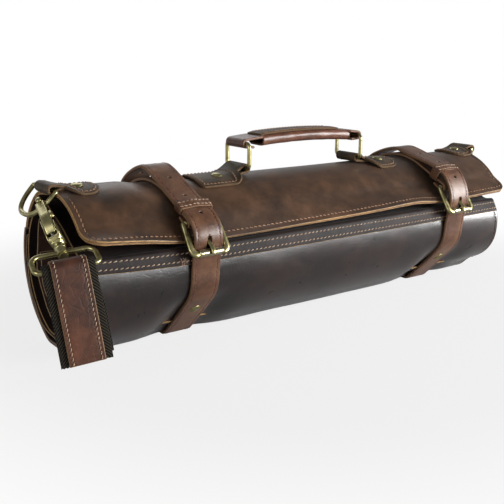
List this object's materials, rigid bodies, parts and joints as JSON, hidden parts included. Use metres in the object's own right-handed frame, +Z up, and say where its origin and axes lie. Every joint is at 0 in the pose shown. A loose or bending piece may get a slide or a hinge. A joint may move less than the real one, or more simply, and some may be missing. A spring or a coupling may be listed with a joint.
{
  "type": "brush roll case",
  "caption": "Rolled leather brush case closed by buckled straps, with a rigid carrying handle, end rings and a snap hook holding a shoulder strap.",
  "frame": {"origin": "on the resting plane, under the roll's axis, midway between the two closing straps", "axes": "+X along the roll to the right as seen from the buckles, +Y to the rear, +Z up; the buckles are on the -Y side"},
  "size_m": [0.5482, 0.1665, 0.1668],
  "materials": {
    "panel_leather": "glossy oiled hide",
    "flap_leather": "waxed pull-up hide",
    "lining_leather": "matt split hide",
    "strap_leather": "satin",
    "tab_leather": "satin",
    "grip_leather": "satin",
    "facing_leather": "satin",
    "rivet_brass": "antique, polished on the dome",
    "antique_brass": "antique, satin",
    "roller_brass": "worn bright",
    "spring_steel": "bright",
    "webbing": "herringbone cotton webbing"
  },
  "bodies": {
    "roll": {"outer_panel": "panel_leather", "lining": "lining_leather", "flap": "flap_leather", "inner_panel": "panel_leather", "pocket_panel": "lining_leather", "guard_flap": "lining_leather", "hole_strap_left": "strap_leather", "hole_strap_right": "strap_leather", "buckle_strap_left": "strap_leather", "buckle_strap_right": "strap_leather", "keeper_left": "strap_leather", "keeper_right": "strap_leather", "strap_rivets": "rivet_brass", "handle_tab_left": "tab_leather", "handle_tab_right": "tab_leather", "handle_tab_rivets": "rivet_brass", "ring_anchor_left": "tab_leather", "ring_anchor_right": "tab_leather", "anchor_rivets": "rivet_brass"},
    "left_ring": {"handle_ring_left": "antique_brass"},
    "right_ring": {"handle_ring_right": "antique_brass"},
    "handle": {"handle_core": "tab_leather", "handle_grip": "grip_leather", "handle_cap_strip": "grip_leather"},
    "left_d_ring": {"d_ring_left": "antique_brass"},
    "right_d_ring": {"d_ring_right": "antique_brass"},
    "hook": {"snap_hook": "antique_brass", "swivel_pin": "antique_brass", "bolt_spring": "spring_steel"},
    "bolt": {"hook_bolt": "antique_brass"},
    "swivel_ring": {"strap_ring": "antique_brass"},
    "shoulder_strap": {"shoulder_webbing": "webbing", "shoulder_facing": "facing_leather"},
    "left_buckle": {"buckle_frame_left": "antique_brass"},
    "left_roller": {"buckle_roller_left": "roller_brass"},
    "left_tongue": {"buckle_tongue_left": "antique_brass"},
    "right_buckle": {"buckle_frame_right": "antique_brass"},
    "right_roller": {"buckle_roller_right": "roller_brass"},
    "right_tongue": {"buckle_tongue_right": "antique_brass"}
  },
  "joints": [
    {"name": "left_buckle_hinge", "type": "hinge", "parent": "roll", "child": "left_buckle", "pos_m": [-0.1482, -0.05751, 0.104], "axis": [-1, 0, 0], "range_deg": [0, 8]},
    {"name": "left_roller_spin", "type": "hinge", "parent": "left_buckle", "child": "left_roller", "pos_m": [-0.1482, -0.07316, 0.08213], "axis": [1, 0, 0], "continuous": true},
    {"name": "left_tongue_hinge", "type": "hinge", "parent": "left_buckle", "child": "left_tongue", "pos_m": [-0.1482, -0.05751, 0.104], "axis": [-1, 0, 0], "range_deg": [0, 8]},
    {"name": "right_buckle_hinge", "type": "hinge", "parent": "roll", "child": "right_buckle", "pos_m": [0.1482, -0.05751, 0.104], "axis": [-1, 0, 0], "range_deg": [0, 8]},
    {"name": "right_roller_spin", "type": "hinge", "parent": "right_buckle", "child": "right_roller", "pos_m": [0.1482, -0.07316, 0.08213], "axis": [1, 0, 0], "continuous": true},
    {"name": "right_tongue_hinge", "type": "hinge", "parent": "right_buckle", "child": "right_tongue", "pos_m": [0.1482, -0.05751, 0.104], "axis": [-1, 0, 0], "range_deg": [0, 8]},
    {"name": "left_ring_hinge", "type": "hinge", "parent": "roll", "child": "left_ring", "pos_m": [-0.067, 0.005, 0.13302], "axis": [0, 1, 0], "range_deg": [-60, 60]},
    {"name": "right_ring_hinge", "type": "hinge", "parent": "roll", "child": "right_ring", "pos_m": [0.067, 0.005, 0.13302], "axis": [0, 1, 0], "range_deg": [-60, 60]},
    {"name": "handle_hinge", "type": "hinge", "parent": "left_ring", "child": "handle", "pos_m": [-0.067, 0.005, 0.15502], "axis": [0, 1, 0], "range_deg": [-60, 60]},
    {"name": "left_d_ring_hinge", "type": "hinge", "parent": "roll", "child": "left_d_ring", "pos_m": [-0.247, 0.013, 0.13127], "axis": [0, 1, 0], "range_deg": [0, 50]},
    {"name": "right_d_ring_hinge", "type": "hinge", "parent": "roll", "child": "right_d_ring", "pos_m": [0.247, 0.013, 0.13127], "axis": [0, -1, 0], "range_deg": [0, 60]},
    {"name": "hook_swing", "type": "hinge", "parent": "left_d_ring", "child": "hook", "pos_m": [-0.25354, 0.00006, 0.11843], "axis": [-0.3673, 0.5878, -0.7208], "range_deg": [0, 25]},
    {"name": "bolt_slide", "type": "slide", "parent": "hook", "child": "bolt", "axis": [-0.1567, -0.9071, -0.3907], "range_m": [0, 0.0045], "stiffness_N_per_m": 300, "springref_m": -0.006},
    {"name": "ring_swivel", "type": "hinge", "parent": "hook", "child": "swivel_ring", "pos_m": [-0.26308, -0.05518, 0.09464], "axis": [-0.1567, -0.9071, -0.3907], "range_deg": [0, 40]},
    {"name": "strap_hinge", "type": "hinge", "parent": "swivel_ring", "child": "shoulder_strap", "pos_m": [-0.2659, -0.07151, 0.0876], "axis": [-0.9717, 0.2124, -0.1034], "range_deg": [0, 35]}
  ],
  "couplings": [
    {"joint": "right_ring_hinge", "follows": "left_ring_hinge", "ratio": 1},
    {"joint": "handle_hinge", "follows": "left_ring_hinge", "ratio": -1}
  ]
}
